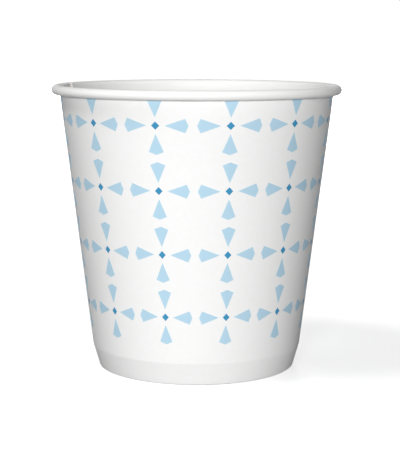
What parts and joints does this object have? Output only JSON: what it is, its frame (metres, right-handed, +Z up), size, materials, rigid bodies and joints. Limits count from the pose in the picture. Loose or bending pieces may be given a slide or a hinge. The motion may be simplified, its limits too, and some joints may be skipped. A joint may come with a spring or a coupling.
{
  "type": "paper cup",
  "caption": "Small tapered paper cup with a rolled rim, glued side seam and recessed bottom, printed with a blue diamond lattice.",
  "frame": {"origin": "centre of the ring that the cup stands on, at the height of the table", "axes": "+Z up along the cup's axis, -Y towards the picture's camera, with the glued seam at the back left"},
  "size_m": [0.058, 0.058, 0.0567],
  "materials": {
    "cup_board": "white coated paperboard, satin",
    "light_blue_ink": "light blue ink on coated board, satin",
    "dark_blue_ink": "dark blue ink on coated board, satin"
  },
  "bodies": {
    "root": {"sidewall": "cup_board", "bottom_disc": "cup_board", "print_petals": "light_blue_ink", "print_diamonds": "dark_blue_ink"}
  },
  "joints": []
}
